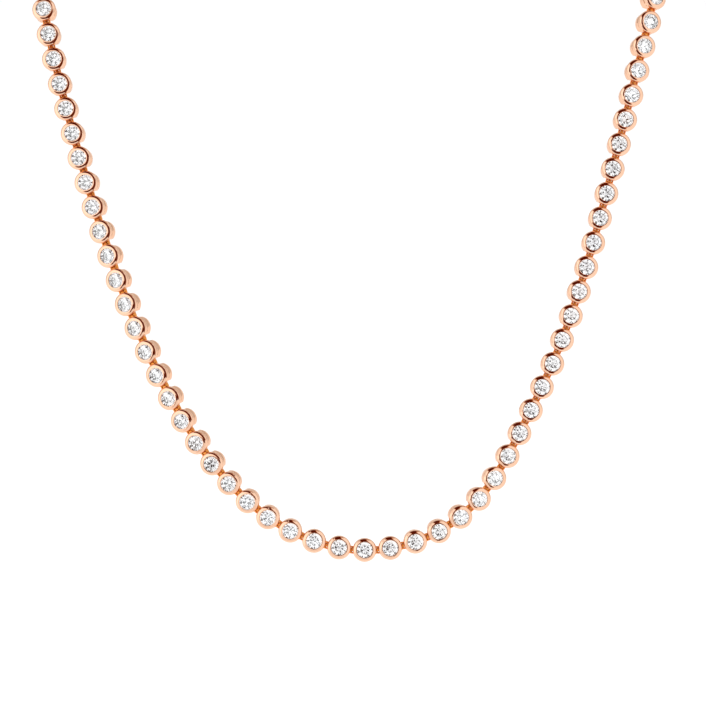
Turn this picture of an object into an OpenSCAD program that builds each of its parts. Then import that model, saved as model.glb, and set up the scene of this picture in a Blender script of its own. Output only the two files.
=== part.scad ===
// Riviere necklace: a whole loop of round bezel-set brilliants, hinged end to end.
// It hangs from the nape. The wearer faces -Y and up is +Z.

/* [Loop] */
// Length of the whole loop, measured along the hinge pins
loop_length = 450; // [420:5:500]
// Distance between two neighbouring hinge pins, before it is evened out round the loop
link_pitch = 5; // [4.95:0.05:5.4]
// Angle that the front of the loop leans back from the vertical, along the chest
chest_lean = 15; // [0:1:30]

/* [Setting] */
// Outer diameter of the domed rim of a cup
rim_d = 4.6; // [4.5:0.02:4.64]
// Outer diameter of the base ring of a cup
base_d = 4.4; // [4.2:0.05:4.4]
// Diameter of the opening that the stone shows through
opening_d = 3; // [2.9:0.01:3.02]
// Diameter of the bore just below the stone
bore_d = 2.6; // [2.4:0.05:2.7]
// Diameter of the wider bore through the base ring
base_bore_d = 3.1; // [2.8:0.05:3.15]
// Height of a cup from the top of the rim to the underside of the base ring
cup_height = 3; // [2.8:0.05:3.1]
// Height of the collar, from the top of the rim down to the gallery windows
collar_height = 1.05; // [1:0.01:1.08]
// Height of the gallery windows
window_height = 0.45; // [0.3:0.05:0.6]
// Length of a gallery window along the strand
window_length = 2.9; // [2:0.1:3]

/* [Hinge] */
// Depth of the hinge pin's axis below the top of the rim
hinge_depth = 1.6; // [1.58:0.01:1.65]
// Diameter of the hinge pin
pin_d = 0.32; // [0.28:0.01:0.34]
// Diameter of the eye that the pin passes through
eye_d = 0.64; // [0.62:0.01:0.66]
// Outer diameter of the eye and of the ears' round ends
knuckle_d = 0.9; // [0.86:0.01:0.92]
// Thickness of the tongue that carries the eye
tongue_t = 0.38; // [0.35:0.01:0.46]
// Free space between the two ears
ear_space = 0.85; // [0.84:0.01:0.9]
// Thickness of one ear
ear_t = 0.3; // [0.24:0.01:0.32]

/* [Stone] */
// Diameter of the stone at its girdle
stone_d = 3.1; // [3:0.02:3.12]
// Diameter of the table across its corners, as a share of the stone's diameter
table_share = 0.57; // [0.53:0.01:0.62]
// Height of the crown, as a share of the stone's diameter
crown_share = 0.16; // [0.14:0.005:0.165]
// Depth of the pavilion, as a share of the stone's diameter
pavilion_share = 0.43; // [0.41:0.005:0.44]

/* [Clasp] */
// Distance between the clasp's two hinge pins
clasp_pitch = 10; // [9:0.5:12]
// Width of the clasp across the strand
clasp_w = 4.2; // [3:0.1:5]

/* [Hidden] */
$fn = 32;

// Line of the hinge pins, read off once round the loop from the nape.
// Columns in mm: across to the wearer's left, up along the leaning front, back behind it.
// Columns in degrees: where the stones face, turned to the wearer's left and then raised.
route = [
    // nape
    [0.4, 142.0, 46.5, -180, 50],
    [-20.8, 141.3, 44.3, -155, 50],
    [-41.3, 137.0, 36.6, -120, 50],
    [-56.7, 128.7, 23.0, -62, 41],
    [-60.3, 114.2, 8.4, -11, 13],
    // wearer's right, going down
    [-57.1, 95.0, 4.2, -2, 4],
    [-51.9, 75.6, 3.0, -8, 3],
    [-45.9, 56.6, 1.5, -19.5, 0],
    [-38.5, 38.2, 0.0, -21, -3],
    [-28.8, 20.8, -0.6, -15, -7],
    [-15.3, 6.5, -0.5, -2.5, -5.5],
    // lowest stone
    [3.4, 0.1, 0.0, 1, 2],
    // wearer's left, going up
    [22.0, 6.8, 0.7, 5, -6.5],
    [33.2, 22.6, 2.3, 0.5, -1],
    [41.5, 40.5, 3.6, 1, 1.5],
    [47.7, 59.4, 5.0, 1, 2],
    [52.8, 78.6, 6.2, 1, 2],
    [57.7, 98.0, 7.8, 11, 6],
    [61.0, 116.2, 12.5, 35, 25],
    [56.6, 129.4, 25.0, 80, 46],
    [42.0, 137.2, 37.0, 122, 50],
    [21.6, 141.3, 44.5, 156, 50]
];
row_count = len(route);
steps_per_row = 12;
solver_passes = 24;

// Direction that a row's stones face, in the leaning frame
function facing(turn, rise) = [sin(turn) * cos(rise), sin(rise), -cos(turn) * cos(rise)];

// Place and facing of each row, in one list of six numbers
rows = [for (row = route) concat([row[0], row[1], row[2]], facing(row[3], row[4]))];

// Control points of the closed cubic curve that passes through every row
function control_points(guess, passes) =
    passes == 0 ? guess :
    control_points(
        [for (i = [0:row_count - 1])
            (6 * rows[i] - guess[(i + row_count - 1) % row_count] - guess[(i + 1) % row_count]) / 4],
        passes - 1);
controls = control_points(rows, solver_passes);

// Place and facing on the closed curve, where t counts the rows from the nape
function curve_at(t) =
    let (i = floor(t), f = t - i)
    (pow(1 - f, 3) * controls[(i + row_count - 1) % row_count]
        + (3 * pow(f, 3) - 6 * pow(f, 2) + 4) * controls[i % row_count]
        + (3 * pow(1 - f, 3) - 6 * pow(1 - f, 2) + 4) * controls[(i + 1) % row_count]
        + pow(f, 3) * controls[(i + 2) % row_count]) / 6;

function place_of(v) = [v[0], v[1], v[2]];
function facing_of(v) = [v[3], v[4], v[5]];
function unit(v) = v / norm(v);
function square_to(v, axis) = unit(v - (v * axis) * axis);

// Distance from the nape against t, one pair for each small step
sample_count = row_count * steps_per_row;
samples = [for (i = [0:sample_count]) place_of(curve_at(i / steps_per_row))];
distances = [
    for (i = 0, s = 0; i <= sample_count;
        s = s + (i < sample_count ? norm(samples[i + 1] - samples[i]) : 0), i = i + 1)
        [s, i / steps_per_row]
];
drawn_length = distances[sample_count][0];
size = loop_length / drawn_length;

// Cups round the loop, and the pitch that fills it exactly
rounding_margin = 0.01;
cup_count = floor((loop_length - clasp_pitch) / link_pitch + rounding_margin);
pitch = (loop_length - clasp_pitch) / cup_count;
half_count = ceil(cup_count / 2);

// Turns the leaning frame upright
function upright(v) = [
    v[0],
    v[1] * sin(chest_lean) + v[2] * cos(chest_lean),
    v[1] * cos(chest_lean) - v[2] * sin(chest_lean)
];

// Place and facing at a distance from the nape, upright and at full size
function on_loop(s) =
    let (
        round_s = (s + loop_length) % loop_length,
        v = curve_at(lookup(round_s / size, distances))
    )
    [size * upright(place_of(v)), upright(facing_of(v))];

// Frame between two hinge pins: along, across and facing axes, and the middle between the pins
function frame_between(s_from, s_to) =
    let (
        from = on_loop(s_from)[0],
        to = on_loop(s_to)[0],
        along = unit(to - from),
        out = square_to(on_loop((s_from + s_to) / 2)[1], along)
    )
    [along, cross(out, along), out, (from + to) / 2];

clasp_frame = frame_between(-clasp_pitch / 2, clasp_pitch / 2);
origin = clasp_frame[3] - (cup_height - hinge_depth) * clasp_frame[2];

// Frame of a cup, with its own origin at the middle of the rim's top
function cup_frame(i) =
    let (
        s = clasp_pitch / 2 + i * pitch,
        f = frame_between(s, s + pitch)
    )
    [f[0], f[1], f[2], f[3] + hinge_depth * f[2] - origin];

function to_frame(f, p) = f[3] + p[0] * f[0] + p[1] * f[1] + p[2] * f[2];

module in_frame(f) {
    multmatrix([
        [f[0][0], f[1][0], f[2][0], f[3][0]],
        [f[0][1], f[1][1], f[2][1], f[3][1]],
        [f[0][2], f[1][2], f[2][2], f[3][2]],
        [0, 0, 0, 1]
    ])
        children();
}

// Setting
rim_crest_d = 3.08;
rim_dome_h = 0.6;
rim_dome_steps = 4;
opening_drop = 0.05;
lip_drop = 0.15;
groove_d = 3.36;
groove_top = 0.22;
groove_bottom = 0.46;
base_chamfer = 0.12;
wall_gap = 0.25;
root_depth = 0.2;

knuckle_r = knuckle_d / 2;
flat_x = pitch / 2 - knuckle_r - wall_gap;
seat_slope = pavilion_share * 2;
seat_bottom = groove_bottom + (groove_d - bore_d) / 2 * seat_slope;

// Half section of a cup, as points of radius and height
cup_section = concat(
    [
        [base_bore_d / 2, -cup_height],
        [base_d / 2 - base_chamfer, -cup_height],
        [base_d / 2, -cup_height + base_chamfer],
        [base_d / 2, -collar_height],
        [rim_d / 2, -collar_height]
    ],
    [for (k = [0:rim_dome_steps])
        let (a = 90 * k / rim_dome_steps)
        [
            rim_crest_d / 2 + (rim_d - rim_crest_d) / 2 * cos(a),
            -rim_dome_h + rim_dome_h * sin(a)
        ]],
    [
        [opening_d / 2, -opening_drop],
        [opening_d / 2, -lip_drop],
        [groove_d / 2, -groove_top],
        [groove_d / 2, -groove_bottom],
        [bore_d / 2, -seat_bottom],
        [bore_d / 2, -collar_height],
        [base_bore_d / 2, -collar_height - window_height]
    ]
);

// Cylinder lying across the strand
module crosswise(d, length) {
    rotate([90, 0, 0]) cylinder(d = d, h = length, center = true);
}

// Plate that reaches from a wall at wall_x to a round end at pin_x, on the hinge's height
module hinge_plate(wall_x, pin_x, y, thickness) {
    translate([0, y, -hinge_depth]) {
        translate([pin_x, 0, 0]) crosswise(knuckle_d, thickness);
        translate([(wall_x + pin_x) / 2, 0, 0])
            cube([abs(pin_x - wall_x), thickness, knuckle_d], center = true);
    }
}

// Two ears and the pin soldered through them, past a wall at wall_x
module fork(wall_x, pin_x) {
    ear_y = (ear_space + ear_t) / 2;
    for (side = [-1, 1])
        hinge_plate(wall_x - root_depth, pin_x, side * ear_y, ear_t);
    translate([pin_x, 0, -hinge_depth]) crosswise(pin_d, ear_space + 2 * ear_t);
}

// Tongue with an eye, past a wall at -wall_x
module tongue(wall_x, pin_x) {
    difference() {
        hinge_plate(-wall_x + root_depth, -pin_x, 0, tongue_t);
        translate([-pin_x, 0, -hinge_depth]) crosswise(eye_d, 2 * tongue_t);
    }
}

module cup() {
    cut = 2 * cup_height;
    difference() {
        rotate_extrude() polygon(cup_section);
        // gallery windows, one on each side of the strand
        translate([-window_length / 2, -rim_d, -collar_height - window_height])
            cube([window_length, 2 * rim_d, window_height]);
        // flats that leave room for the neighbours' hinge ends
        for (side = [-1, 1])
            translate([side * (flat_x + cut / 2), 0, -collar_height - cut / 2])
                cube([cut, 2 * rim_d, cut], center = true);
    }
    fork(flat_x, pitch / 2);
    tongue(flat_x, pitch / 2);
}

module settings(first, last) {
    color("#e8b090")
        for (i = [first:last])
            in_frame(cup_frame(i)) cup();
}

module settings_left() {
    settings(half_count, cup_count - 1);
}

module settings_right() {
    settings(0, half_count - 1);
}

// Stone: a full-cut round brilliant, with eight-fold symmetry
stone_folds = 8;
fold_angle = 360 / stone_folds;
stone_r = stone_d / 2;
table_r = table_share * stone_r;
crown_h = crown_share * stone_d;
pavilion_h = pavilion_share * stone_d;
girdle_h = 0.06;
// turn of each stone in its cup, against the one before
stone_turn = 137.5;
table_rise = 0.16;
girdle_top = table_rise - crown_h;
girdle_bottom = girdle_top - girdle_h;
// reach of the star facets and of the lower girdle facets, as shares of the stone's radius
star_share = 0.76;
lower_share = 0.25;
star_r = star_share * stone_r;
star_z = girdle_top + crown_h * (stone_r - star_r * cos(fold_angle / 2)) / (stone_r - table_r);
lower_r = lower_share * stone_r;
lower_z = girdle_bottom - pavilion_h * (1 - lower_r * cos(fold_angle / 2) / stone_r);

function ring(r, z, count, start) =
    [for (k = [0:count - 1]) let (a = start + k * 360 / count) [r * cos(a), r * sin(a), z]];

// Rings of corners from the table down to the culet, and where each ring starts in the list
stone_points = concat(
    ring(table_r, table_rise, stone_folds, 0),
    ring(star_r, star_z, stone_folds, fold_angle / 2),
    ring(stone_r, girdle_top, 2 * stone_folds, 0),
    ring(stone_r, girdle_bottom, 2 * stone_folds, 0),
    ring(lower_r, lower_z, stone_folds, fold_angle / 2),
    [[0, 0, girdle_bottom - pavilion_h]]
);
star_at = stone_folds;
upper_at = 2 * stone_folds;
under_at = 4 * stone_folds;
lower_at = 6 * stone_folds;
culet = 7 * stone_folds;

// Facets of one eighth of the stone, seen clockwise from outside
function eighth(k) =
    let (
        table = [k, (k + 1) % stone_folds],
        star = [star_at + k, star_at + (k + stone_folds - 1) % stone_folds],
        around = [for (j = [0:2]) (2 * k + j) % (2 * stone_folds)],
        upper = [for (j = around) upper_at + j],
        under = [for (j = around) under_at + j],
        lower = [lower_at + k, lower_at + (k + stone_folds - 1) % stone_folds]
    )
    [
        [table[0], table[1], star[0]],
        [table[0], upper[0], star[1]],
        [table[0], star[0], upper[0]],
        [star[0], upper[1], upper[0]],
        [star[0], upper[2], upper[1]],
        [upper[0], under[1], under[0]],
        [upper[0], upper[1], under[1]],
        [upper[1], under[2], under[1]],
        [upper[1], upper[2], under[2]],
        [under[0], under[1], lower[0]],
        [under[1], under[2], lower[0]],
        [under[0], lower[0], culet],
        [under[0], culet, lower[1]]
    ];

stone_facets = concat(
    [[for (k = [stone_folds - 1:-1:0]) k]],
    [for (k = [0:stone_folds - 1]) each eighth(k)]
);

// Point turned about the stone's own axis
function turned(p, angle) = [
    p[0] * cos(angle) - p[1] * sin(angle),
    p[0] * sin(angle) + p[1] * cos(angle),
    p[2]
];

module stones(first, last) {
    corner_count = len(stone_points);
    color("#f4f7fa")
        polyhedron(
            points = [for (i = [first:last]) let (f = cup_frame(i)) for (p = stone_points)
                to_frame(f, turned(p, i * stone_turn))],
            faces = [for (i = [0:last - first]) for (facet = stone_facets)
                [for (corner = facet) corner + i * corner_count]],
            convexity = 4
        );
}

module stones_left() {
    stones(half_count, cup_count - 1);
}

module stones_right() {
    stones(0, half_count - 1);
}

// Clasp: a plain box with round corners, hinged to the first and the last cup
clasp_top = 0.3;
clasp_corner_r = 0.8;
clasp_lid_inset = 0.5;
clasp_lid_h = 0.3;
clasp_wall_x = clasp_pitch / 2 - knuckle_r - wall_gap;

// Upright block with four round corners, from z_low to z_high
module round_block(length, width, z_low, z_high, r) {
    h = z_high - z_low;
    translate([0, 0, z_low]) {
        translate([-length / 2 + r, -width / 2, 0]) cube([length - 2 * r, width, h]);
        translate([-length / 2, -width / 2 + r, 0]) cube([length, width - 2 * r, h]);
        for (x = [-1, 1])
            for (y = [-1, 1])
                translate([x * (length / 2 - r), y * (width / 2 - r), 0]) cylinder(r = r, h = h);
    }
}

module clasp() {
    lid_low = -clasp_top - clasp_lid_h;
    color("#e8b090")
        in_frame([
            clasp_frame[0],
            clasp_frame[1],
            clasp_frame[2],
            clasp_frame[3] + hinge_depth * clasp_frame[2] - origin
        ]) {
            round_block(2 * clasp_wall_x, clasp_w, -cup_height, lid_low, clasp_corner_r);
            round_block(
                2 * (clasp_wall_x - clasp_lid_inset),
                clasp_w - 2 * clasp_lid_inset,
                lid_low,
                -clasp_top,
                clasp_corner_r
            );
            fork(clasp_wall_x, clasp_pitch / 2);
            tongue(clasp_wall_x, clasp_pitch / 2);
        }
}

settings_left();
settings_right();
stones_left();
stones_right();
clasp();
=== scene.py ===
"""Looks of a riviere necklace: a whole loop of round bezel-set brilliants, hinged end to end."""

import logging
import math
from collections.abc import Callable, Sequence
from dataclasses import dataclass, field
from enum import Enum

import bmesh
import bpy
import numpy as np
from mathutils import Matrix, Vector


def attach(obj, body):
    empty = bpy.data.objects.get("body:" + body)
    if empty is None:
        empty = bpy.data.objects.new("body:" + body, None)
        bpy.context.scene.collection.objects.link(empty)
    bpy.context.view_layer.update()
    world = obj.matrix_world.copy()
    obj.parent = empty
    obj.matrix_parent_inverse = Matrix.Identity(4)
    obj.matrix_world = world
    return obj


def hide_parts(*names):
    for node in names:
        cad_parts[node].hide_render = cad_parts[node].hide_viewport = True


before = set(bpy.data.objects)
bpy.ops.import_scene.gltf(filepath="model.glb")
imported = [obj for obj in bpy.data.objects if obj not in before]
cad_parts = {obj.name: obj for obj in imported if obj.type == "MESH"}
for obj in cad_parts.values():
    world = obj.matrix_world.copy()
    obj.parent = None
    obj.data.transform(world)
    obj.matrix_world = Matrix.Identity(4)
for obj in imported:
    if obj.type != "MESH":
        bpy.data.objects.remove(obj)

log = logging.getLogger("necklace")

Socket = bpy.types.NodeSocket
Tone = tuple[float, float, float]
Place = tuple[float, float, float]

# the bench works at a thousand times the real size, where 1 unit is 1 mm
MM = 0.001
# points on the bench that are closer than this become one
MERGED = 1e-4
# turn of a cylinder that lies across the strand
SIDEWAYS = (math.pi / 2, 0, 0)
# edges that turn by more degrees than this stay sharp, on the links and on the floor
SMOOTH_ANGLE = 38
FLOOR_SMOOTH_ANGLE = 60
# numbers of a Mix node's sockets when it mixes colours
MIX_VALUE, MIX_FIRST, MIX_SECOND, MIX_RESULT = 0, 6, 7, 2

WHITE = (1.0, 1.0, 1.0)
# the dark red brown that the tent's gap, low_flag and side_flag show in the metal
GAP_TONE = (0.10, 0.010, 0.001)
# both sides of the upright flag on the left, across, up and behind in mm
FLAG_SIDE = (-10, 0, -70)
FLAG_RISE = (-32, 93, 0)


class Node(str, Enum):
    """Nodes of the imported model."""

    SETTINGS_LEFT = "settings_left"
    SETTINGS_RIGHT = "settings_right"
    STONES_LEFT = "stones_left"
    STONES_RIGHT = "stones_right"
    CLASP = "clasp"


class Slot(str, Enum):
    """Material slots of the record."""

    ROSE_GOLD = "rose_gold"
    DIAMOND = "diamond"


class Half(Enum):
    """The two halves of the strand, as first and last cup from the nape."""

    RIGHT = (0, 44)
    LEFT = (44, 88)


# ---------------------------------------------------------------- bench tools


def clear_selection() -> None:
    """Leaves edit mode and deselects every object."""
    if bpy.context.object and bpy.context.object.mode != "OBJECT":
        bpy.ops.object.mode_set(mode="OBJECT")
    bpy.ops.object.select_all(action="DESELECT")


def select_only(piece: bpy.types.Object) -> None:
    """Selects one piece alone and makes it the active one.

    Args:
        piece: The mesh object.
    """
    clear_selection()
    piece.select_set(True)
    bpy.context.view_layer.objects.active = piece


def edit(piece: bpy.types.Object) -> None:
    """Opens one piece in edit mode with all of it selected.

    Args:
        piece: The mesh object to open.
    """
    select_only(piece)
    bpy.ops.object.mode_set(mode="EDIT")
    bpy.ops.mesh.select_all(action="SELECT")


def is_end(face: bmesh.types.BMFace) -> bool:
    """Says whether a face of a new cylinder is one of its two ends."""
    return len(face.verts) > 4


def pick_faces(test: Callable[[bmesh.types.BMFace], bool]) -> None:
    """Selects the faces of the open piece that pass a test.

    Args:
        test: Says whether a face is wanted.
    """
    open_mesh = bpy.context.object.data
    shape = bmesh.from_edit_mesh(open_mesh)
    for part in (*shape.verts, *shape.edges, *shape.faces):
        part.select = False
    for face in shape.faces:
        face.select_set(bool(test(face)))
    bmesh.update_edit_mesh(open_mesh)


def pick_points(test: Callable[[Vector], bool]) -> None:
    """Selects the points of the open piece that pass a test, in world coordinates.

    Args:
        test: Says whether a point is wanted.
    """
    piece = bpy.context.object
    shape = bmesh.from_edit_mesh(piece.data)
    bpy.ops.mesh.select_mode(type="VERT")
    for part in (*shape.faces, *shape.edges, *shape.verts):
        part.select = False
    for point in shape.verts:
        point.select_set(bool(test(piece.matrix_world @ point.co)))
    shape.select_flush(True)
    bmesh.update_edit_mesh(piece.data)


def outward(piece: bpy.types.Object) -> None:
    """Merges doubles and turns every face outwards.

    Args:
        piece: The closed mesh object.
    """
    edit(piece)
    bpy.ops.mesh.remove_doubles(threshold=MERGED)
    bpy.ops.mesh.normals_make_consistent(inside=False)
    clear_selection()


def settle(piece: bpy.types.Object) -> bpy.types.Object:
    """Puts a piece's place into its mesh, with its object at the origin.

    Args:
        piece: The mesh object.

    Returns:
        The same object.
    """
    select_only(piece)
    bpy.ops.object.transform_apply(location=True, rotation=True, scale=True)
    return piece


def soften(piece: bpy.types.Object, width: float, angle: float, segments: int = 2) -> None:
    """Rounds the sharp edges of a piece.

    Args:
        piece: The mesh object.
        width: Width of the rounding.
        angle: Least angle of an edge that is rounded, in degrees.
        segments: Faces across the rounding.
    """
    select_only(piece)
    bevel = piece.modifiers.new("rounding", "BEVEL")
    bevel.width = width
    bevel.segments = segments
    bevel.limit_method = "ANGLE"
    bevel.angle_limit = math.radians(angle)
    bevel.use_clamp_overlap = False
    bpy.ops.object.modifier_apply(modifier=bevel.name)


def cut_away(piece: bpy.types.Object, low: Sequence[float], high: Sequence[float]) -> None:
    """Cuts a box out of a piece.

    Args:
        piece: The mesh object that is cut.
        low: Lowest corner of the box.
        high: Highest corner of the box.
    """
    clear_selection()
    middle = [(a + b) / 2 for a, b in zip(low, high)]
    bpy.ops.mesh.primitive_cube_add(size=1, location=middle)
    cutter = bpy.context.object
    edit(cutter)
    bpy.ops.transform.resize(value=[b - a for a, b in zip(low, high)], center_override=middle)
    select_only(piece)
    cut = piece.modifiers.new("cut", "BOOLEAN")
    cut.operation = "DIFFERENCE"
    cut.solver = "EXACT"
    cut.object = cutter
    bpy.ops.object.modifier_apply(modifier=cut.name)
    bpy.data.objects.remove(cutter, do_unlink=True)


def turned_ring(name: str, section: Sequence[tuple[float, float]], sides: int) -> bpy.types.Object:
    """Draws a closed half section round the upright axis, ring by ring.

    Args:
        name: Name of the new object.
        section: Corners of the section as radius and height.
        sides: Points in each ring.

    Returns:
        The closed ring.
    """
    clear_selection()
    bpy.ops.mesh.primitive_circle_add(vertices=sides, radius=section[0][0])
    piece = bpy.context.object
    piece.name = name
    edit(piece)
    bpy.ops.transform.translate(value=(0, 0, section[0][1]))
    for (r_from, z_from), (r_to, z_to) in zip(section, [*section[1:], section[0]]):
        bpy.ops.mesh.extrude_region_move(
            TRANSFORM_OT_translate={"value": (0, 0, z_to - z_from)})
        grow = r_to / r_from
        bpy.ops.transform.resize(value=(grow, grow, 1), center_override=(0, 0, z_to))
    outward(piece)
    return piece


def joined(name: str, parts: Sequence[bpy.types.Object]) -> bpy.types.Object:
    """Makes one mesh of several parts.

    Args:
        name: Name of the result.
        parts: The mesh objects, which are used up.

    Returns:
        The one object.
    """
    clear_selection()
    for part in parts:
        part.select_set(True)
    bpy.context.view_layer.objects.active = parts[0]
    bpy.ops.object.join()
    whole = bpy.context.object
    whole.name = whole.data.name = name
    return settle(whole)


def smooth(piece: bpy.types.Object, angle: float) -> None:
    """Shades a piece smooth, apart from edges that turn by more than an angle in degrees."""
    select_only(piece)
    bpy.ops.object.shade_smooth_by_angle(angle=math.radians(angle))


def paint(
    piece: bpy.types.Object,
    finish: bpy.types.Material,
    inner: bpy.types.Material | None = None,
    inside: Callable[[Vector], bool] = lambda middle: False,
) -> None:
    """Gives a piece its finish, and another to the faces whose middle passes a test.

    Args:
        piece: The mesh object.
        finish: The material of most faces.
        inner: The material of the faces that pass.
        inside: Says whether a face's middle passes.
    """
    piece.data.materials.clear()
    piece.data.materials.append(finish)
    if inner is None:
        return
    piece.data.materials.append(inner)
    for face in piece.data.polygons:
        face.material_index = int(inside(face.center))


# ---------------------------------------------------------------- route


@dataclass(frozen=True)
class Seat:
    """Place of one link on the strand: three axes and a middle, in mm."""

    along: np.ndarray
    across: np.ndarray
    out: np.ndarray
    middle: np.ndarray

    def matrix(self, scale: float) -> Matrix:
        """Gives the matrix that carries a link from the bench to its place.

        Args:
            scale: Size of a bench unit in metres.

        Returns:
            The 4 by 4 matrix.
        """
        turn = np.eye(4)
        turn[:3, :3] = np.column_stack((self.along, self.across, self.out)) * scale
        turn[:3, 3] = self.middle * scale
        return Matrix(turn.tolist())


@dataclass
class Route:
    """Line of the hinge pins round the whole loop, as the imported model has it."""

    loop_length: float = 450.0
    clasp_pitch: float = 10.0
    chest_lean: float = 15.0
    hinge_depth: float = 1.6
    cup_height: float = 3.0
    cup_count: int = 88
    steps_per_row: int = 12
    solver_passes: int = 24
    # across, up and behind in mm, then turn and rise of the stones in degrees
    rows: tuple[tuple[float, float, float, float, float], ...] = (
        (0.4, 142.0, 46.5, -180, 50),
        (-20.8, 141.3, 44.3, -155, 50),
        (-41.3, 137.0, 36.6, -120, 50),
        (-56.7, 128.7, 23.0, -62, 41),
        (-60.3, 114.2, 8.4, -11, 13),
        (-57.1, 95.0, 4.2, -2, 4),
        (-51.9, 75.6, 3.0, -8, 3),
        (-45.9, 56.6, 1.5, -19.5, 0),
        (-38.5, 38.2, 0.0, -21, -3),
        (-28.8, 20.8, -0.6, -15, -7),
        (-15.3, 6.5, -0.5, -2.5, -5.5),
        (3.4, 0.1, 0.0, 1, 2),
        (22.0, 6.8, 0.7, 5, -6.5),
        (33.2, 22.6, 2.3, 0.5, -1),
        (41.5, 40.5, 3.6, 1, 1.5),
        (47.7, 59.4, 5.0, 1, 2),
        (52.8, 78.6, 6.2, 1, 2),
        (57.7, 98.0, 7.8, 11, 6),
        (61.0, 116.2, 12.5, 35, 25),
        (56.6, 129.4, 25.0, 80, 46),
        (42.0, 137.2, 37.0, 122, 50),
        (21.6, 141.3, 44.5, 156, 50),
    )
    controls: np.ndarray = field(init=False)
    steps: np.ndarray = field(init=False)
    lengths: np.ndarray = field(init=False)
    origin: np.ndarray = field(init=False)

    def __post_init__(self) -> None:
        """Solves the closed curve through the rows and measures along it."""
        table = np.array(self.rows, dtype=float)
        turn, rise = np.radians(table[:, 3]), np.radians(table[:, 4])
        facing = np.column_stack(
            (np.sin(turn) * np.cos(rise), np.sin(rise), -np.cos(turn) * np.cos(rise)))
        rows = np.column_stack((table[:, :3], facing))
        guess = rows.copy()
        for _ in range(self.solver_passes):
            guess = (6 * rows - np.roll(guess, 1, 0) - np.roll(guess, -1, 0)) / 4
        self.controls = guess
        count = len(rows) * self.steps_per_row
        self.steps = np.arange(count + 1) / self.steps_per_row
        places = np.array([self.curve_at(t)[:3] for t in self.steps])
        strides = np.linalg.norm(np.diff(places, axis=0), axis=1)
        self.lengths = np.concatenate(([0.0], np.cumsum(strides)))
        self.origin = np.zeros(3)
        clasp = self.between(-self.clasp_pitch / 2, self.clasp_pitch / 2)
        self.origin = clasp.middle - self.cup_height * clasp.out

    @property
    def size(self) -> float:
        """Factor from the drawn curve to the loop's real length."""
        return self.loop_length / float(self.lengths[-1])

    @property
    def pitch(self) -> float:
        """Distance between two neighbouring hinge pins of the cups."""
        return (self.loop_length - self.clasp_pitch) / self.cup_count

    @property
    def lean(self) -> float:
        """Lean of the front in radians."""
        return math.radians(self.chest_lean)

    @property
    def rise(self) -> Vector:
        """Direction up the leaning front."""
        return Vector((0, math.sin(self.lean), math.cos(self.lean)))

    @property
    def sight(self) -> Vector:
        """Direction in which the camera looks: square to the leaning front."""
        return Vector((0, math.cos(self.lean), -math.sin(self.lean)))

    def curve_at(self, t: float) -> np.ndarray:
        """Gives place and facing on the closed curve.

        Args:
            t: Rows from the nape.

        Returns:
            Six numbers, the place and then the facing, in the leaning frame.
        """
        count = len(self.controls)
        i = math.floor(t)
        f = t - i
        weights = (
            (1 - f) ** 3,
            3 * f**3 - 6 * f**2 + 4,
            3 * (1 - f) ** 3 - 6 * (1 - f) ** 2 + 4,
            f**3,
        )
        return sum(w * self.controls[(i + k - 1) % count] for k, w in enumerate(weights)) / 6

    def upright(self, v: Sequence[float]) -> np.ndarray:
        """Turns a vector of the leaning frame upright.

        Args:
            v: The vector, across, up and behind.

        Returns:
            The vector in the row frame.
        """
        sin, cos = math.sin(self.lean), math.cos(self.lean)
        return np.array([v[0], v[1] * sin + v[2] * cos, v[1] * cos - v[2] * sin])

    def on_loop(self, distance: float) -> tuple[np.ndarray, np.ndarray]:
        """Gives the pin line's place and facing at a distance from the nape.

        Args:
            distance: Length along the loop in mm.

        Returns:
            Place and facing, upright and at full size.
        """
        along = (distance + self.loop_length) % self.loop_length
        v = self.curve_at(float(np.interp(along / self.size, self.lengths, self.steps)))
        return self.size * self.upright(v[:3]), self.upright(v[3:])

    def between(self, start: float, end: float) -> Seat:
        """Gives the seat of a link between two hinge pins.

        Args:
            start: Distance of the first pin from the nape in mm.
            end: Distance of the second pin from the nape in mm.

        Returns:
            The seat, with its middle at the height of the rims' tops.
        """
        first, last = self.on_loop(start)[0], self.on_loop(end)[0]
        along = (last - first) / np.linalg.norm(last - first)
        out = self.on_loop((start + end) / 2)[1]
        out = out - (out @ along) * along
        out = out / np.linalg.norm(out)
        middle = (first + last) / 2 + self.hinge_depth * out - self.origin
        return Seat(along, np.cross(out, along), out, middle)

    def cup(self, number: int) -> Seat:
        """Gives the seat of a cup, counted from the nape down the wearer's right."""
        start = self.clasp_pitch / 2 + number * self.pitch
        return self.between(start, start + self.pitch)

    def clasp(self) -> Seat:
        """Gives the seat of the clasp."""
        return self.between(-self.clasp_pitch / 2, self.clasp_pitch / 2)

    def front_point(self, across: float, up: float, behind: float) -> Vector:
        """Gives a point of the leaning front in metres.

        Args:
            across: Towards the wearer's left, in mm.
            up: Along the leaning front, in mm.
            behind: Behind the leaning front, in mm.

        Returns:
            The point in the row frame.
        """
        place = self.size * self.upright((across, up, behind)) - self.origin
        return Vector((place * MM).tolist())


# ---------------------------------------------------------------- nodes


def mapped(
    tree: bpy.types.NodeTree,
    value: Socket,
    span: Sequence[float],
    result: Sequence[float],
    *,
    way: str = "LINEAR",
    clamp: bool = True,
) -> Socket:
    """Adds a node that maps a value from one span to another.

    Args:
        tree: The nodes that it joins.
        value: The value.
        span: Low and high end of the value.
        result: What those two ends become.
        way: How the values between them run, as the node names it.
        clamp: Whether values past the span stop at its ends.

    Returns:
        The mapped value.
    """
    node = tree.nodes.new("ShaderNodeMapRange")
    node.interpolation_type = way
    node.clamp = clamp
    for name, number in zip(("From Min", "From Max", "To Min", "To Max"), (*span, *result)):
        node.inputs[name].default_value = number
    tree.links.new(value, node.inputs["Value"])
    return node.outputs["Result"]


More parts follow.
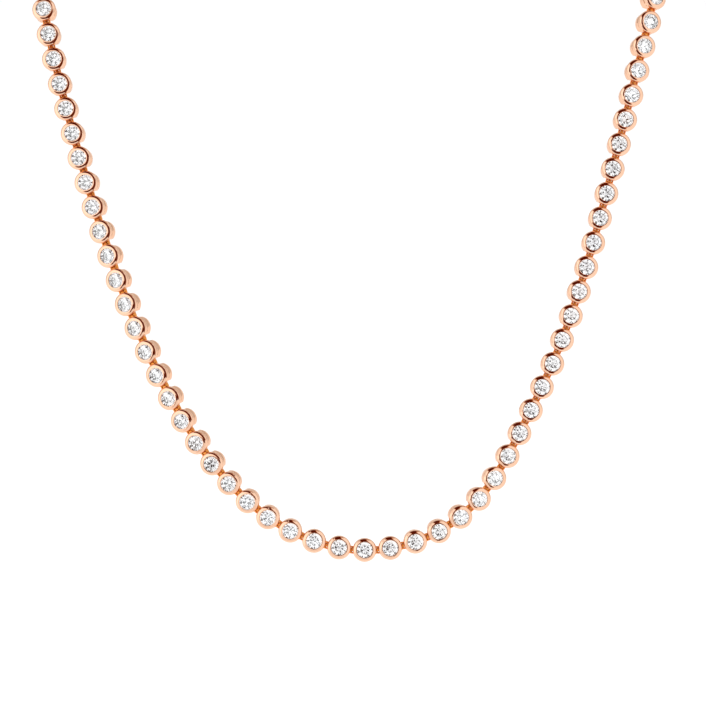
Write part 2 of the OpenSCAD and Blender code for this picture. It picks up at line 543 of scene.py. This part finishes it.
def colour_mix(
    tree: bpy.types.NodeTree,
    value: Socket,
    first: Socket | Sequence[float],
    second: Socket | Sequence[float],
) -> Socket:
    """Adds a node that mixes two colours.

    Args:
        tree: The nodes that it joins.
        value: The mixing value.
        first: Colour at 0, a socket or a linear colour.
        second: Colour at 1, a socket or a linear colour.

    Returns:
        The mixed colour.
    """
    node = tree.nodes.new("ShaderNodeMix")
    node.data_type = "RGBA"
    tree.links.new(value, node.inputs[MIX_VALUE])
    for number, colour in ((MIX_FIRST, first), (MIX_SECOND, second)):
        if isinstance(colour, Socket):
            tree.links.new(colour, node.inputs[number])
        else:
            node.inputs[number].default_value = (*colour, 1)
    return node.outputs[MIX_RESULT]


# ---------------------------------------------------------------- finishes


@dataclass(frozen=True)
class Grain:
    """Noise over a surface: its waves in a metre and its octaves."""

    scale: float
    detail: float


class Shader:
    """A node material that is being put together."""

    # most values of a noise lie between these
    noise_span = (0.3, 0.7)

    def __init__(self, name: str) -> None:
        """Starts a material with a shader and an output.

        Args:
            name: Name of the material.
        """
        self.material = bpy.data.materials.new(name)
        self.material.use_nodes = True
        self.tree = self.material.node_tree
        self.tree.nodes.clear()
        self.surface = self.tree.nodes.new("ShaderNodeBsdfPrincipled")
        out = self.tree.nodes.new("ShaderNodeOutputMaterial")
        self.tree.links.new(self.surface.outputs["BSDF"], out.inputs["Surface"])
        self.place = self.tree.nodes.new("ShaderNodeTexCoord").outputs["Object"]

    def noise(self, grain: Grain) -> Socket:
        """Adds a noise over the piece's own coordinates.

        Args:
            grain: Size and depth of the noise.

        Returns:
            The noise value, about a half on average.
        """
        node = self.tree.nodes.new("ShaderNodeTexNoise")
        node.inputs["Scale"].default_value = grain.scale
        node.inputs["Detail"].default_value = grain.detail
        self.tree.links.new(self.place, node.inputs["Vector"])
        return node.outputs["Fac"]

    def spread(self, grain: Grain, low: float = 0, high: float = 1) -> Socket:
        """Adds a noise and spreads it over a range.

        Args:
            grain: Size and depth of the noise.
            low: Result where the noise is low.
            high: Result where the noise is high.

        Returns:
            The spread value.
        """
        return mapped(self.tree, self.noise(grain), self.noise_span, (low, high))

    def tint(self, socket: str, grain: Grain, first: Sequence[float], second: Sequence[float]) -> None:
        """Feeds one of the shader's sockets with a colour that changes over the surface.

        Args:
            socket: Name of the socket.
            grain: Size and depth of the change.
            first: Linear colour where the noise is low.
            second: Linear colour where the noise is high.
        """
        self.feed(socket, colour_mix(self.tree, self.spread(grain), first, second))

    def bump(self, height: Socket, depth: float) -> None:
        """Raises the surface by a height value.

        Args:
            height: The height value.
            depth: Depth of the relief in metres.
        """
        node = self.tree.nodes.new("ShaderNodeBump")
        node.inputs["Strength"].default_value = 1
        node.inputs["Distance"].default_value = depth
        self.tree.links.new(height, node.inputs["Height"])
        self.tree.links.new(node.outputs["Normal"], self.surface.inputs["Normal"])

    def feed(self, socket: str, value: Socket) -> None:
        """Links a value to one of the shader's sockets."""
        self.tree.links.new(value, self.surface.inputs[socket])

    def fix(self, **values: float | Sequence[float]) -> None:
        """Sets sockets of the shader, named with _ for each space."""
        for name, value in values.items():
            self.surface.inputs[name.replace("_", " ")].default_value = value


@dataclass(frozen=True)
class Metal:
    """Polished metal with faint polishing marks."""

    name: str = Slot.ROSE_GOLD.value
    warm: Tone = (0.90, 0.555, 0.38)
    pale: Tone = (0.94, 0.60, 0.425)
    gloss: tuple[float, float] = (0.04, 0.10)
    edge: Tone = (0.90, 0.76, 0.66)
    clouds: Grain = Grain(300, 3)
    marks: Grain = Grain(1400, 5)
    waves: Grain = Grain(900, 2)
    wave_depth: float = 1.5e-6

    def material(self) -> bpy.types.Material:
        """Makes the metal's material.

        Returns:
            The material.
        """
        shader = Shader(self.name)
        shader.fix(Metallic=1.0, Specular_Tint=(*self.edge, 1))
        shader.tint("Base Color", self.clouds, self.warm, self.pale)
        shader.feed("Roughness", shader.spread(self.marks, *self.gloss))
        shader.bump(shader.noise(self.waves), self.wave_depth)
        return shader.material


@dataclass(frozen=True)
class Metals:
    """The metal finishes of a link: its outside, its hinge ends in a colour of painted shade, and the seat
    under its stone.
    """

    shell: bpy.types.Material
    joint_shade: bpy.types.Material
    seat: bpy.types.Material

    @classmethod
    def made(cls) -> "Metals":
        """Makes rose gold, the duller gold of the joints whose deep orange paints the shade bounced between
        the cups, and the bright seat.

        Returns:
            The three finishes.
        """
        # the joints' deep orange base colour is painted shade: the light bounced to and fro in the gaps
        # between cups, put into the colour
        joint_shade = Metal("joint_gold_painted_shade", warm=(0.97, 0.37, 0.07), pale=(0.98, 0.43, 0.11), gloss=(0.34, 0.46))
        seat = Metal("bright_seat", warm=(0.86, 0.84, 0.83), pale=(0.92, 0.91, 0.90), gloss=(0.12, 0.25))
        return cls(Metal().material(), joint_shade.material(), seat.material())


@dataclass(frozen=True)
class Diamond:
    """Clear diamond with a faint change of tint from stone to stone."""

    clear: Tone = WHITE
    tinted: Tone = (0.95, 0.97, 1.0)
    clouds: Grain = Grain(120, 2)
    index: float = 2.417

    def material(self) -> bpy.types.Material:
        """Makes the stones' material.

        Returns:
            The material.
        """
        shader = Shader(Slot.DIAMOND.value)
        shader.fix(Transmission_Weight=1.0, IOR=self.index, Roughness=0.0)
        shader.tint("Base Color", self.clouds, self.clear, self.tinted)
        return shader.material


# ---------------------------------------------------------------- settings


@dataclass
class Hinge:
    """Hinge ends of a link: two ears with a pin, and a tongue with an eye. Sizes in mm."""

    depth: float = 1.6
    knuckle_r: float = 0.45
    pin_r: float = 0.16
    pin_inset: float = 0.064
    pin_dome_h: float = 0.01
    eye_r: float = 0.32
    tongue_t: float = 0.6
    ear_space: float = 0.85
    ear_t: float = 0.3
    wall_gap: float = 0.25
    root: float = 0.2
    edge: float = 0.05
    edge_angle: float = 60
    sides: int = 20
    pin_sides: int = 12

    def wall_x(self, pitch: float) -> float:
        """Gives the place of the walls beside the hinges of a link."""
        return pitch / 2 - self.knuckle_r - self.wall_gap

    def plate(
        self, name: str, pin_x: float, wall_x: float, y: float, thickness: float, eye: bool
    ) -> bpy.types.Object:
        """Makes a plate from a wall to a round end about the pin.

        Args:
            name: Name of the plate.
            pin_x: Place of the pin along the strand.
            wall_x: Place of the wall that carries the plate.
            y: Middle of the plate across the strand.
            thickness: Thickness of the plate.
            eye: Whether the plate has an eye round the pin.

        Returns:
            The plate.
        """
        clear_selection()
        bpy.ops.mesh.primitive_cylinder_add(
            vertices=self.sides, radius=self.knuckle_r, depth=thickness,
            location=(pin_x, y, -self.depth), rotation=SIDEWAYS)
        piece = bpy.context.object
        piece.name = name
        edit(piece)
        if eye:
            pick_faces(is_end)
            bpy.ops.mesh.inset(thickness=self.knuckle_r - self.eye_r, use_even_offset=True)
            bpy.ops.mesh.bridge_edge_loops()
        toward = math.copysign(1, wall_x - pin_x)
        between = (self.eye_r + self.knuckle_r) / 2

        def wall_side(point: Vector) -> bool:
            """Says whether a point is on the half of the round end that faces the wall."""
            x, z = point.x - pin_x, point.z + self.depth
            return x * toward > -MERGED and math.hypot(x, z) > between

        pick_points(wall_side)
        bpy.ops.transform.resize(value=(0, 1, 1), center_override=(wall_x, 0, 0))
        outward(piece)
        soften(piece, self.edge, self.edge_angle)
        return piece

    def pin(self, x: float) -> bpy.types.Object:
        """Makes the pin with slightly domed ends.

        Args:
            x: Place of the pin along the strand.

        Returns:
            The pin.
        """
        length = self.ear_space + 2 * self.ear_t
        clear_selection()
        bpy.ops.mesh.primitive_cylinder_add(
            vertices=self.pin_sides, radius=self.pin_r, depth=length,
            location=(x, 0, -self.depth), rotation=SIDEWAYS)
        piece = bpy.context.object
        edit(piece)
        pick_faces(is_end)
        bpy.ops.mesh.inset(thickness=self.pin_inset)
        within = self.pin_r - self.pin_inset / 2
        pick_points(lambda p: math.hypot(p.x - x, p.z + self.depth) < within)
        grow = 1 + 2 * self.pin_dome_h / length
        bpy.ops.transform.resize(value=(1, grow, 1), center_override=(x, 0, -self.depth))
        outward(piece)
        return piece

    def fork(self, pin_x: float, wall_x: float) -> list[bpy.types.Object]:
        """Makes two ears and the pin through them.

        Args:
            pin_x: Place of the pin along the strand.
            wall_x: Place where the ears are rooted.

        Returns:
            The ears and the pin.
        """
        ear_y = (self.ear_space + self.ear_t) / 2
        ears = [
            self.plate("ear", pin_x, wall_x, side * ear_y, self.ear_t, eye=False)
            for side in (-1, 1)
        ]
        return [*ears, self.pin(pin_x)]

    def tongue(self, pin_x: float, wall_x: float) -> bpy.types.Object:
        """Makes a tongue with an eye."""
        return self.plate("tongue", pin_x, wall_x, 0, self.tongue_t, eye=True)

    def ends(self, pitch: float, finish: bpy.types.Material) -> list[bpy.types.Object]:
        """Makes both hinge ends of a link, rooted inside its walls.

        Args:
            pitch: Distance between the link's two pins.
            finish: Material of the ends.

        Returns:
            The fork's parts and the tongue.
        """
        end, wall = pitch / 2, self.wall_x(pitch) - self.root
        parts = [*self.fork(end, wall), self.tongue(-end, -wall)]
        for part in parts:
            paint(part, finish)
        return parts


@dataclass
class Cup:
    """One bezel cup with its gallery and its hinge ends. Sizes in mm, depths below the rim's top."""

    pitch: float
    metals: Metals
    hinge: Hinge = field(default_factory=Hinge)
    rim_r: float = 2.3
    crest_r: float = 1.54
    dome_h: float = 0.6
    dome_steps: int = 9
    # radius and depth of the rounding from the crest into the opening
    lip: tuple[tuple[float, float], ...] = ((1.52, 0.006), (1.506, 0.02))
    opening_r: float = 1.5
    opening_top: float = 0.05
    opening_bottom: float = 0.15
    groove_r: float = 1.68
    groove_top: float = 0.22
    groove_bottom: float = 0.46
    bore_r: float = 1.3
    bore_top: float = 0.787
    base_bore_r: float = 1.55
    base_r: float = 2.2
    base_chamfer: float = 0.12
    base_bend: float = 0.035
    height: float = 3.0
    collar_h: float = 1.05
    window_h: float = 0.45
    window_l: float = 2.9
    # how far the gallery reaches into the collar, and how far the cutters reach past the cup
    overlap: float = 0.02
    cutter_reach: float = 1.0
    # the bright seat: its radius and depth in the collar, and its radius in the gallery
    seat_r: float = 1.7
    seat_top: float = 0.12
    low_seat_r: float = 1.5655
    sides: int = 56
    edge: float = 0.04
    edge_angle: float = 50

    def collar(self) -> bpy.types.Object:
        """Makes the domed rim and the collar with the groove that holds the stone.

        Returns:
            The collar in its finishes.
        """
        dome = [
            (
                self.crest_r + (self.rim_r - self.crest_r) * math.cos(a),
                self.dome_h * (math.sin(a) - 1),
            )
            for a in (math.pi / 2 * k / self.dome_steps for k in range(self.dome_steps + 1))
        ]
        foot, bend = -self.collar_h, 0.3 * self.edge
        section = [
            (self.bore_r, foot),
            (self.rim_r - self.edge, foot),
            (self.rim_r - bend, foot + bend),
            (self.rim_r, foot + self.edge),
            *dome,
            *((r, -depth) for r, depth in self.lip),
            (self.opening_r, -self.opening_top),
            (self.opening_r, -self.opening_bottom),
            (self.groove_r, -self.groove_top),
            (self.groove_r, -self.groove_bottom),
            (self.bore_r, -self.bore_top),
        ]
        ring = turned_ring("collar", section, self.sides)

        def on_seat(middle: Vector) -> bool:
            """Says whether a face belongs to the seat."""
            return middle.z < -self.seat_top and math.hypot(middle.x, middle.y) < self.seat_r

        paint(ring, self.metals.shell, self.metals.seat, on_seat)
        return ring

    def gallery(self) -> bpy.types.Object:
        """Makes the base ring with its windows, its flats and the walls that carry the collar.

        Returns:
            The gallery in its finishes.
        """
        foot, top = -self.height, -self.collar_h + self.overlap
        window_low = -self.collar_h - self.window_h
        section = [
            (self.base_bore_r, foot),
            (self.base_r - self.base_chamfer, foot),
            (self.base_r - self.base_bend, foot + self.base_bend),
            (self.base_r, foot + self.base_chamfer),
            (self.base_r, top),
            (self.bore_r, top),
            (self.base_bore_r, window_low),
        ]
        ring = turned_ring("gallery", section, self.sides)
        far, half = 2 * self.rim_r, self.window_l / 2
        cut_away(ring, (-half, -far, window_low), (half, far, 0))
        for side in (-1, 1):
            near_x, far_x = sorted((side * self.hinge.wall_x(self.pitch), side * far))
            cut_away(ring, (near_x, -far, foot - self.cutter_reach), (far_x, far, 0))
        outward(ring)
        soften(ring, self.edge, self.edge_angle)
        paint(ring, self.metals.shell, self.metals.seat, lambda p: math.hypot(p.x, p.y) < self.low_seat_r)
        return ring

    def build(self) -> bpy.types.Object:
        """Makes the whole cup on the bench.

        Returns:
            The cup, with the strand along X and the rim's top at height 0.
        """
        # the hinge ends take the joint finish, whose orange colour is painted shade between the cups
        ends = self.hinge.ends(self.pitch, self.metals.joint_shade)
        cup = joined("cup", [self.collar(), self.gallery(), *ends])
        smooth(cup, SMOOTH_ANGLE)
        return cup


@dataclass
class Clasp:
    """Plain box clasp with round corners and an inset lid. Sizes in mm."""

    pitch: float
    metals: Metals
    hinge: Hinge = field(default_factory=Hinge)
    width: float = 4.2
    low: float = -3.0
    high: float = -0.3
    lid_h: float = 0.3
    lid_inset: float = 0.5
    corner_r: float = 0.8
    corner_steps: int = 8
    edge: float = 0.12
    edge_angle: float = 60
    edge_steps: int = 3

    def box(self) -> bpy.types.Object:
        """Makes the box: a block with round corners, a step and a lid.

        Returns:
            The box.
        """
        middle = (0, 0, self.low)
        clear_selection()
        bpy.ops.mesh.primitive_plane_add(size=1, location=middle)
        piece = bpy.context.object
        edit(piece)
        bpy.ops.transform.resize(
            value=(2 * self.hinge.wall_x(self.pitch), self.width, 1), center_override=middle)
        bpy.ops.mesh.select_mode(type="VERT")
        bpy.ops.mesh.select_all(action="SELECT")
        bpy.ops.mesh.bevel(offset=self.corner_r, segments=self.corner_steps, affect="VERTICES")
        bpy.ops.mesh.select_all(action="SELECT")
        bpy.ops.mesh.select_mode(type="FACE")
        bpy.ops.mesh.select_all(action="SELECT")
        body_h = self.high - self.lid_h - self.low
        bpy.ops.mesh.extrude_region_move(TRANSFORM_OT_translate={"value": (0, 0, body_h)})
        bpy.ops.mesh.inset(thickness=self.lid_inset)
        bpy.ops.mesh.extrude_region_move(TRANSFORM_OT_translate={"value": (0, 0, self.lid_h)})
        outward(piece)
        soften(piece, self.edge, self.edge_angle, self.edge_steps)
        return piece

    def build(self) -> bpy.types.Object:
        """Makes the clasp on the bench.

        Returns:
            The clasp, with the strand along X.
        """
        box = self.box()
        paint(box, self.metals.shell)
        clasp = joined("clasp_box", [box, *self.hinge.ends(self.pitch, self.metals.joint_shade)])
        smooth(clasp, SMOOTH_ANGLE)
        return clasp


# ---------------------------------------------------------------- necklace


@dataclass
class Necklace:
    """The whole loop: settings, stones and clasp in their finishes."""

    route: Route
    metals: Metals
    stone: bpy.types.Material

    def place(self, pattern: bpy.types.Object, seats: Sequence[Seat], name: str) -> bpy.types.Object:
        """Copies a pattern from the bench to its seats and joins the copies.

        Args:
            pattern: The link on the bench.
            seats: Where the copies go.
            name: Name of the piece.

        Returns:
            The piece at its real size.
        """
        copies = []
        for seat in seats:
            link = pattern.copy()
            link.data = pattern.data.copy()
            bpy.context.collection.objects.link(link)
            link.data.transform(seat.matrix(MM))
            copies.append(link)
        return joined(name, copies)

    def dress(self, piece: bpy.types.Object, node: Node) -> None:
        """Lets a metal piece stand for a node and ride with it.

        Args:
            piece: The piece.
            node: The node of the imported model.
        """
        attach(piece, "root")
        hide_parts(node.value)
        triangles = sum(len(face.vertices) - 2 for face in piece.data.polygons)
        log.info("%s: %d triangles", piece.name, triangles)

    def settings(self) -> None:
        """Builds the two runs of cups from one pattern."""
        pattern = Cup(self.route.pitch, self.metals).build()
        for half, node, name in (
            (Half.RIGHT, Node.SETTINGS_RIGHT, "cups_right"),
            (Half.LEFT, Node.SETTINGS_LEFT, "cups_left"),
        ):
            seats = [self.route.cup(i) for i in range(*half.value)]
            self.dress(self.place(pattern, seats, name), node)
        bpy.data.objects.remove(pattern, do_unlink=True)

    def clasp(self) -> None:
        """Builds the clasp at the nape."""
        pattern = Clasp(self.route.clasp_pitch, self.metals).build()
        self.dress(self.place(pattern, [self.route.clasp()], "box_clasp"), Node.CLASP)
        bpy.data.objects.remove(pattern, do_unlink=True)

    def stones(self) -> None:
        """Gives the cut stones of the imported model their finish."""
        for node in (Node.STONES_LEFT, Node.STONES_RIGHT):
            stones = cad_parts[node.value]
            stones.data.materials.clear()
            stones.data.materials.append(self.stone)
            log.info("%s: cut facets kept", node.value)


# ---------------------------------------------------------------- studio


@dataclass(frozen=True)
class Oval:
    """Oval field on the tent: its middle and half sizes across and up, and where it fades.

    The fade runs between two squared distances from the middle, where 1 is the oval's edge.
    """

    middle: tuple[float, float]
    half: tuple[float, float]
    fade: tuple[float, float]


class Sky:
    """Light from all round that is being put together from the direction of each ray."""

    def __init__(self, name: str, rise: Sequence[float], front: Sequence[float]) -> None:
        """Starts a world that reads the direction and the kind of each ray.

        Args:
            name: Name of the world.
            rise: Direction up the leaning front.
            front: Direction from the leaning front to the camera.
        """
        self.world = bpy.data.worlds.new(name)
        self.world.use_nodes = True
        self.tree = self.world.node_tree
        self.tree.nodes.clear()
        self.direction = self.tree.nodes.new("ShaderNodeTexCoord").outputs["Generated"]
        self.kinds = self.tree.nodes.new("ShaderNodeLightPath").outputs
        self.across = self.along((1, 0, 0))
        self.front = self.along(front)
        self.rise = self.along(rise)

    def along(self, axis: Sequence[float]) -> Socket:
        """Gives how far a ray points along an axis.

        Args:
            axis: The axis, one unit long.

        Returns:
            A value from -1 to 1.
        """
        node = self.tree.nodes.new("ShaderNodeVectorMath")
        node.operation = "DOT_PRODUCT"
        node.inputs[1].default_value = axis
        self.tree.links.new(self.direction, node.inputs[0])
        return node.outputs["Value"]

    def eased(self, value: Socket, span: Sequence[float], result: Sequence[float]) -> Socket:
        """Maps a value smoothly from one span to another."""
        return mapped(self.tree, value, span, result, way="SMOOTHSTEP")

    def combined(self, operation: str, first: Socket, second: Socket) -> Socket:
        """Combines two values.

        Args:
            operation: What is done with them, as the node names it.
            first: The first value.
            second: The second value.

        Returns:
            The result.
        """
        node = self.tree.nodes.new("ShaderNodeMath")
        node.operation = operation
        self.tree.links.new(first, node.inputs[0])
        self.tree.links.new(second, node.inputs[1])
        return node.outputs["Value"]

    def product(self, first: Socket, second: Socket) -> Socket:
        """Multiplies two values."""
        return self.combined("MULTIPLY", first, second)

    def squared(self, value: Socket, middle: float, half: float) -> Socket:
        """Gives the squared distance from a middle, in half sizes."""
        distance = mapped(self.tree, value, (middle, middle + half), (0, 1), clamp=False)
        return self.product(distance, distance)

    def reach(self, oval: Oval) -> Socket:
        """Gives the squared distance of a ray from an oval's middle.

        Args:
            oval: The oval.

        Returns:
            The value, which is 1 on the oval's edge.
        """
        across = self.squared(self.across, oval.middle[0], oval.half[0])
        rise = self.squared(self.rise, oval.middle[1], oval.half[1])
        return self.combined("ADD", across, rise)

    def grey(self, value: Socket | float) -> Socket:
        """Makes a grey.

        Args:
            value: Its level, a socket or a number.

        Returns:
            The colour.
        """
        node = self.tree.nodes.new("ShaderNodeCombineColor")
        for channel in ("Red", "Green", "Blue"):
            if isinstance(value, Socket):
                self.tree.links.new(value, node.inputs[channel])
            else:
                node.inputs[channel].default_value = value
        return node.outputs["Color"]

    def patches(self, scale: float) -> Socket:
        """Adds a noise over the directions.

        Args:
            scale: Waves in one unit.

        Returns:
            The noise value, about a half on average.
        """
        node = self.tree.nodes.new("ShaderNodeTexNoise")
        node.inputs["Scale"].default_value = scale
        node.inputs["Detail"].default_value = 1
        self.tree.links.new(self.direction, node.inputs["Vector"])
        return node.outputs["Fac"]

    def light(self, colour: Socket) -> None:
        """Lights the scene with a colour.

        Args:
            colour: The colour that each ray meets.
        """
        glow = self.tree.nodes.new("ShaderNodeBackground")
        self.tree.links.new(colour, glow.inputs["Color"])
        out = self.tree.nodes.new("ShaderNodeOutputWorld")
        self.tree.links.new(glow.outputs["Background"], out.inputs["Surface"])
        bpy.context.scene.world = self.world


@dataclass
class Tent:
    """White tent with a dark gap round the camera, which the metal mirrors.

    Its places are how far a direction points across, up the leaning front and to the camera, from -1 to 1.
    """

    # brightness of the sides, from behind the necklace to the camera's side
    level: tuple[float, float] = (0.68, 1.12)
    level_span: tuple[float, float] = (-0.6, 0.4)
    # where the camera's side begins
    front_span: tuple[float, float] = (-0.1, 0.1)
    # soft box on the left, and its extra brightness in the middle and at the edge
    soft_box: Oval = Oval((-0.83, 0.1), (0.62, 0.66), (0.92, 1.12))
    box_glow: tuple[float, float] = (0.35, 0.14)
    # dark gap round the camera: where it starts and ends, across, and where it starts above the floor
    gap_left: tuple[float, float] = (-0.66, -0.44)
    gap_right: tuple[float, float] = (0.07, 0.29)
    gap_low: tuple[float, float] = (-0.80, -0.68)
    # colours of the gap and of its orange hem, and how deep in the gap each takes over
    gap_tone: Tone = GAP_TONE
    gap_from: tuple[float, float] = (0.4, 0.85)
    hem_tone: Tone = (0.50, 0.17, 0.04)
    hem_from: tuple[float, float] = (0, 0.45)
    # pale screen that covers the left of the gap, and the dark oval low on it
    screen: Oval = Oval((-0.60, 0.05), (0.57, 0.72), (0.72, 1.12))
    dark_oval: Oval = Oval((-0.22, -0.32), (0.28, 0.24), (0.7, 1.2))
    # brownish ceiling: height at which it starts and is full, and its colour
    ceiling: tuple[float, float] = (0.78, 0.92)
    ceiling_tone: Tone = (0.48, 0.25, 0.12)
    # what lights the floor
    floor_glow: float = 1.10
    # what the stones gather: dark patches and bright ones, the noise between which they turn, and its scale
    stone_glow: tuple[float, float] = (0.04, 1.35)
    patch_level: tuple[float, float] = (0.40, 0.47)
    patch_scale: float = 2.1

    def gap(self, sky: Sky, ahead: Socket) -> Socket:
        """Gives how deep in the dark gap a ray is.

        Args:
            sky: The world that is being put together.
            ahead: 1 on the camera's side, 0 behind.

        Returns:
            A value from 0 to 1.
        """
        outside = sky.product(sky.eased(sky.reach(self.screen), self.screen.fade, (0, 1)), ahead)
        sides = sky.product(
            sky.eased(sky.across, self.gap_left, (0, 1)), sky.eased(sky.across, self.gap_right, (1, 0)))
        upright = sky.product(sides, sky.eased(sky.rise, self.gap_low, (0, 1)))
        low = sky.product(sky.eased(sky.reach(self.dark_oval), self.dark_oval.fade, (1, 0)), ahead)
        return sky.combined("MAXIMUM", sky.product(outside, upright), low)

    def cloth(self, sky: Sky, ahead: Socket) -> Socket:
        """Gives the colour of the tent without its gap: the pale sides, the soft box and the ceiling.

        Args:
            sky: The world that is being put together.
            ahead: 1 on the camera's side, 0 behind.

        Returns:
            The colour.
        """
        reach = sky.reach(self.soft_box)
        box = sky.product(sky.eased(reach, self.soft_box.fade, (1, 0)), ahead)
        glow = sky.product(box, sky.eased(reach, (0, 1), self.box_glow))
        pale = sky.combined("ADD", sky.eased(sky.front, self.level_span, self.level), glow)
        roof = sky.product(sky.eased(sky.rise, self.ceiling, (0, 1)), ahead)
        return colour_mix(sky.tree, roof, sky.grey(pale), self.ceiling_tone)

    def build(self, route: Route) -> None:
        """Lights the scene: the tent for the metal, patches for the stones, an even glow for the floor.

        Args:
            route: The necklace's route, which gives the lean.
        """
        sky = Sky("tent", route.rise, -route.sight)
        ahead = sky.eased(sky.front, self.front_span, (0, 1))
        gap = self.gap(sky, ahead)
        hemmed = colour_mix(
            sky.tree, sky.eased(gap, self.hem_from, (0, 1)), self.cloth(sky, ahead), self.hem_tone)
        tent = colour_mix(sky.tree, sky.eased(gap, self.gap_from, (0, 1)), hemmed, self.gap_tone)
        gathered = sky.eased(sky.patches(self.patch_scale), self.patch_level, self.stone_glow)
        for_stones = colour_mix(sky.tree, sky.kinds["Is Transmission Ray"], tent, sky.grey(gathered))
        sky.light(colour_mix(
            sky.tree, sky.kinds["Is Diffuse Ray"], for_stones, sky.grey(self.floor_glow)))


@dataclass(frozen=True)
class Lamp:
    """Soft light that only lights: its place and sides in metres, and its glow beside the tent's white."""

    name: str
    place: Place
    size: tuple[float, float]
    glow: float = 0.8

    def hang(self, aim: Vector) -> None:
        """Hangs the light, unseen by the camera and the metal.

        Args:
            aim: Point that it faces.
        """
        light = bpy.data.lights.new(self.name, "AREA")
        light.shape = "RECTANGLE"
        light.size, light.size_y = self.size
        light.energy = self.glow * math.pi * self.size[0] * self.size[1]
        lamp = bpy.data.objects.new(self.name, light)
        lamp.location = self.place
        lamp.rotation_euler = (aim - Vector(self.place)).to_track_quat("-Z", "Y").to_euler()
        lamp.visible_camera = False
        lamp.visible_glossy = False
        bpy.context.collection.objects.link(lamp)


@dataclass(frozen=True)
class Card:
    """Card that only the polished metal sees.

    Its middle and its two sides, from end to end, are given across, up and behind the leaning front in mm.
    Its paper is the linear colour that it sends out, where 1 is the white of the tent.
    """

    name: str
    middle: Place
    side: Place
    rise: Place
    paper: Tone = WHITE
    fade: float = 0.97
    clouds: Grain = Grain(8, 2)

    def stand(self, route: Route) -> None:
        """Stands the card in its place.

        Args:
            route: The necklace's route, which the place is measured from.
        """
        clear_selection()
        bpy.ops.mesh.primitive_plane_add(size=1)
        card = bpy.context.object
        card.name = self.name
        across, up = (Vector((route.upright(v) * MM).tolist()) for v in (self.side, self.rise))
        turn = Matrix((across, up, across.cross(up).normalized())).transposed().to_4x4()
        turn.translation = route.front_point(*self.middle)
        card.data.transform(turn)
        finish = Shader(f"{self.name}_paper")
        finish.fix(Base_Color=(0, 0, 0, 1), Roughness=1.0, Specular_IOR_Level=0.0, Emission_Strength=1.0)
        finish.tint("Emission Color", self.clouds, [self.fade * c for c in self.paper], self.paper)
        card.data.materials.append(finish.material)
        card.visible_camera = False
        card.visible_shadow = False
        card.visible_diffuse = False
        card.visible_transmission = False


@dataclass
class Studio:
    """The photograph's camera, a pale floor, the tent, soft lights and cards. Sizes in metres."""

    route: Route
    tent: Tent = field(default_factory=Tent)
    floor_z: float = -0.30
    floor_front: float = -0.45
    floor_size: tuple[float, float] = (8, 6)
    floor_white: tuple[Tone, Tone] = ((0.93, 0.93, 0.93), (0.95, 0.95, 0.95))
    floor_clouds: Grain = Grain(6, 2)
    rise_steps: int = 8
    # lens and sensor in mm, and the width that the picture takes in
    lens: float = 135.0
    sensor: float = 36.0
    frame_width: float = 0.1361
    view_depth: tuple[float, float] = (0.01, 50)
    # what camera and lamps face on the leaning front: across, up and behind in mm
    camera_aim: Place = (0.964, 38.21, -1.6)
    lamp_aim: Place = (0, 50, 0)
    lamps: tuple[Lamp, ...] = (
        Lamp("soft_left", (-0.9, -0.4, 0.3), (0.6, 0.9)),
        Lamp("soft_above", (0.1, 0.1, 0.9), (0.8, 0.8)),
    )
    # dark_flag has a white back, so that only one side of it shows dark in the metal
    cards: tuple[Card, ...] = (
        Card("low_card", (-19, -26, -60), (82, 0, 0), (0, 36, -77)),
        Card("low_flag", (27.5, -82.5, -290), (145, 0, 0), (0, 285, 0), GAP_TONE),
        Card("dark_flag", (-36.2, 68.5, -47), FLAG_SIDE, FLAG_RISE, (0.15, 0.025, 0.004)),
        Card("flag_back", (-34.8, 68.5, -47.2), FLAG_SIDE, FLAG_RISE),
        Card("side_flag", (48, 124, -60), (36, 0, 0), (14, 52, 0), GAP_TONE),
    )

    def camera(self) -> None:
        """Sets the camera square to the leaning front."""
        distance = self.frame_width / self.sensor * self.lens
        lens = bpy.data.cameras.new("camera")
        lens.lens = self.lens
        lens.sensor_width = self.sensor
        lens.clip_start, lens.clip_end = self.view_depth
        camera = bpy.data.objects.new("camera", lens)
        camera.location = self.route.front_point(*self.camera_aim) - distance * self.route.sight
        camera.rotation_euler = self.route.sight.to_track_quat("-Z", "Y").to_euler()
        bpy.context.collection.objects.link(camera)
        bpy.context.scene.camera = camera

    def floor(self) -> None:
        """Makes a wide pale floor well below the necklace, with a soft rise at its far end."""
        clear_selection()
        bpy.ops.mesh.primitive_plane_add(size=1, location=(0, 0, self.floor_z))
        floor = bpy.context.object
        floor.name = "floor"
        edit(floor)
        half = 0.5
        bpy.ops.transform.resize(value=(*self.floor_size, 1), center_override=(0, -half, self.floor_z))
        bpy.ops.transform.translate(value=(0, half + self.floor_front, 0))
        pick_points(lambda p: p.y > 0)
        turns = [math.pi / 2 * k / self.rise_steps for k in range(self.rise_steps + 1)]
        for a, b in zip(turns, turns[1:]):
            bpy.ops.mesh.extrude_region_move(TRANSFORM_OT_translate={
                "value": (0, math.sin(b) - math.sin(a), math.cos(a) - math.cos(b))})
        clear_selection()
        settle(floor)
        smooth(floor, FLOOR_SMOOTH_ANGLE)
        paint_white = Shader("floor_white")
        paint_white.fix(Roughness=0.9)
        paint_white.tint("Base Color", self.floor_clouds, *self.floor_white)
        floor.data.materials.append(paint_white.material)

    def build(self) -> None:
        """Sets up camera, floor, tent, lamps and cards in turn."""
        self.camera()
        self.floor()
        self.tent.build(self.route)
        middle = self.route.front_point(*self.lamp_aim)
        for lamp in self.lamps:
            lamp.hang(middle)
        for card in self.cards:
            card.stand(self.route)
        bpy.context.scene.view_settings.view_transform = "Standard"
        bpy.context.scene.view_settings.look = "None"


def main() -> None:
    """Builds the necklace and its studio."""
    logging.basicConfig(level=logging.INFO, format="%(message)s")
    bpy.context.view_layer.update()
    route = Route()
    Studio(route).build()
    necklace = Necklace(route, Metals.made(), Diamond().material())
    necklace.settings()
    necklace.clasp()
    necklace.stones()


if __name__ == "__main__":
    main()
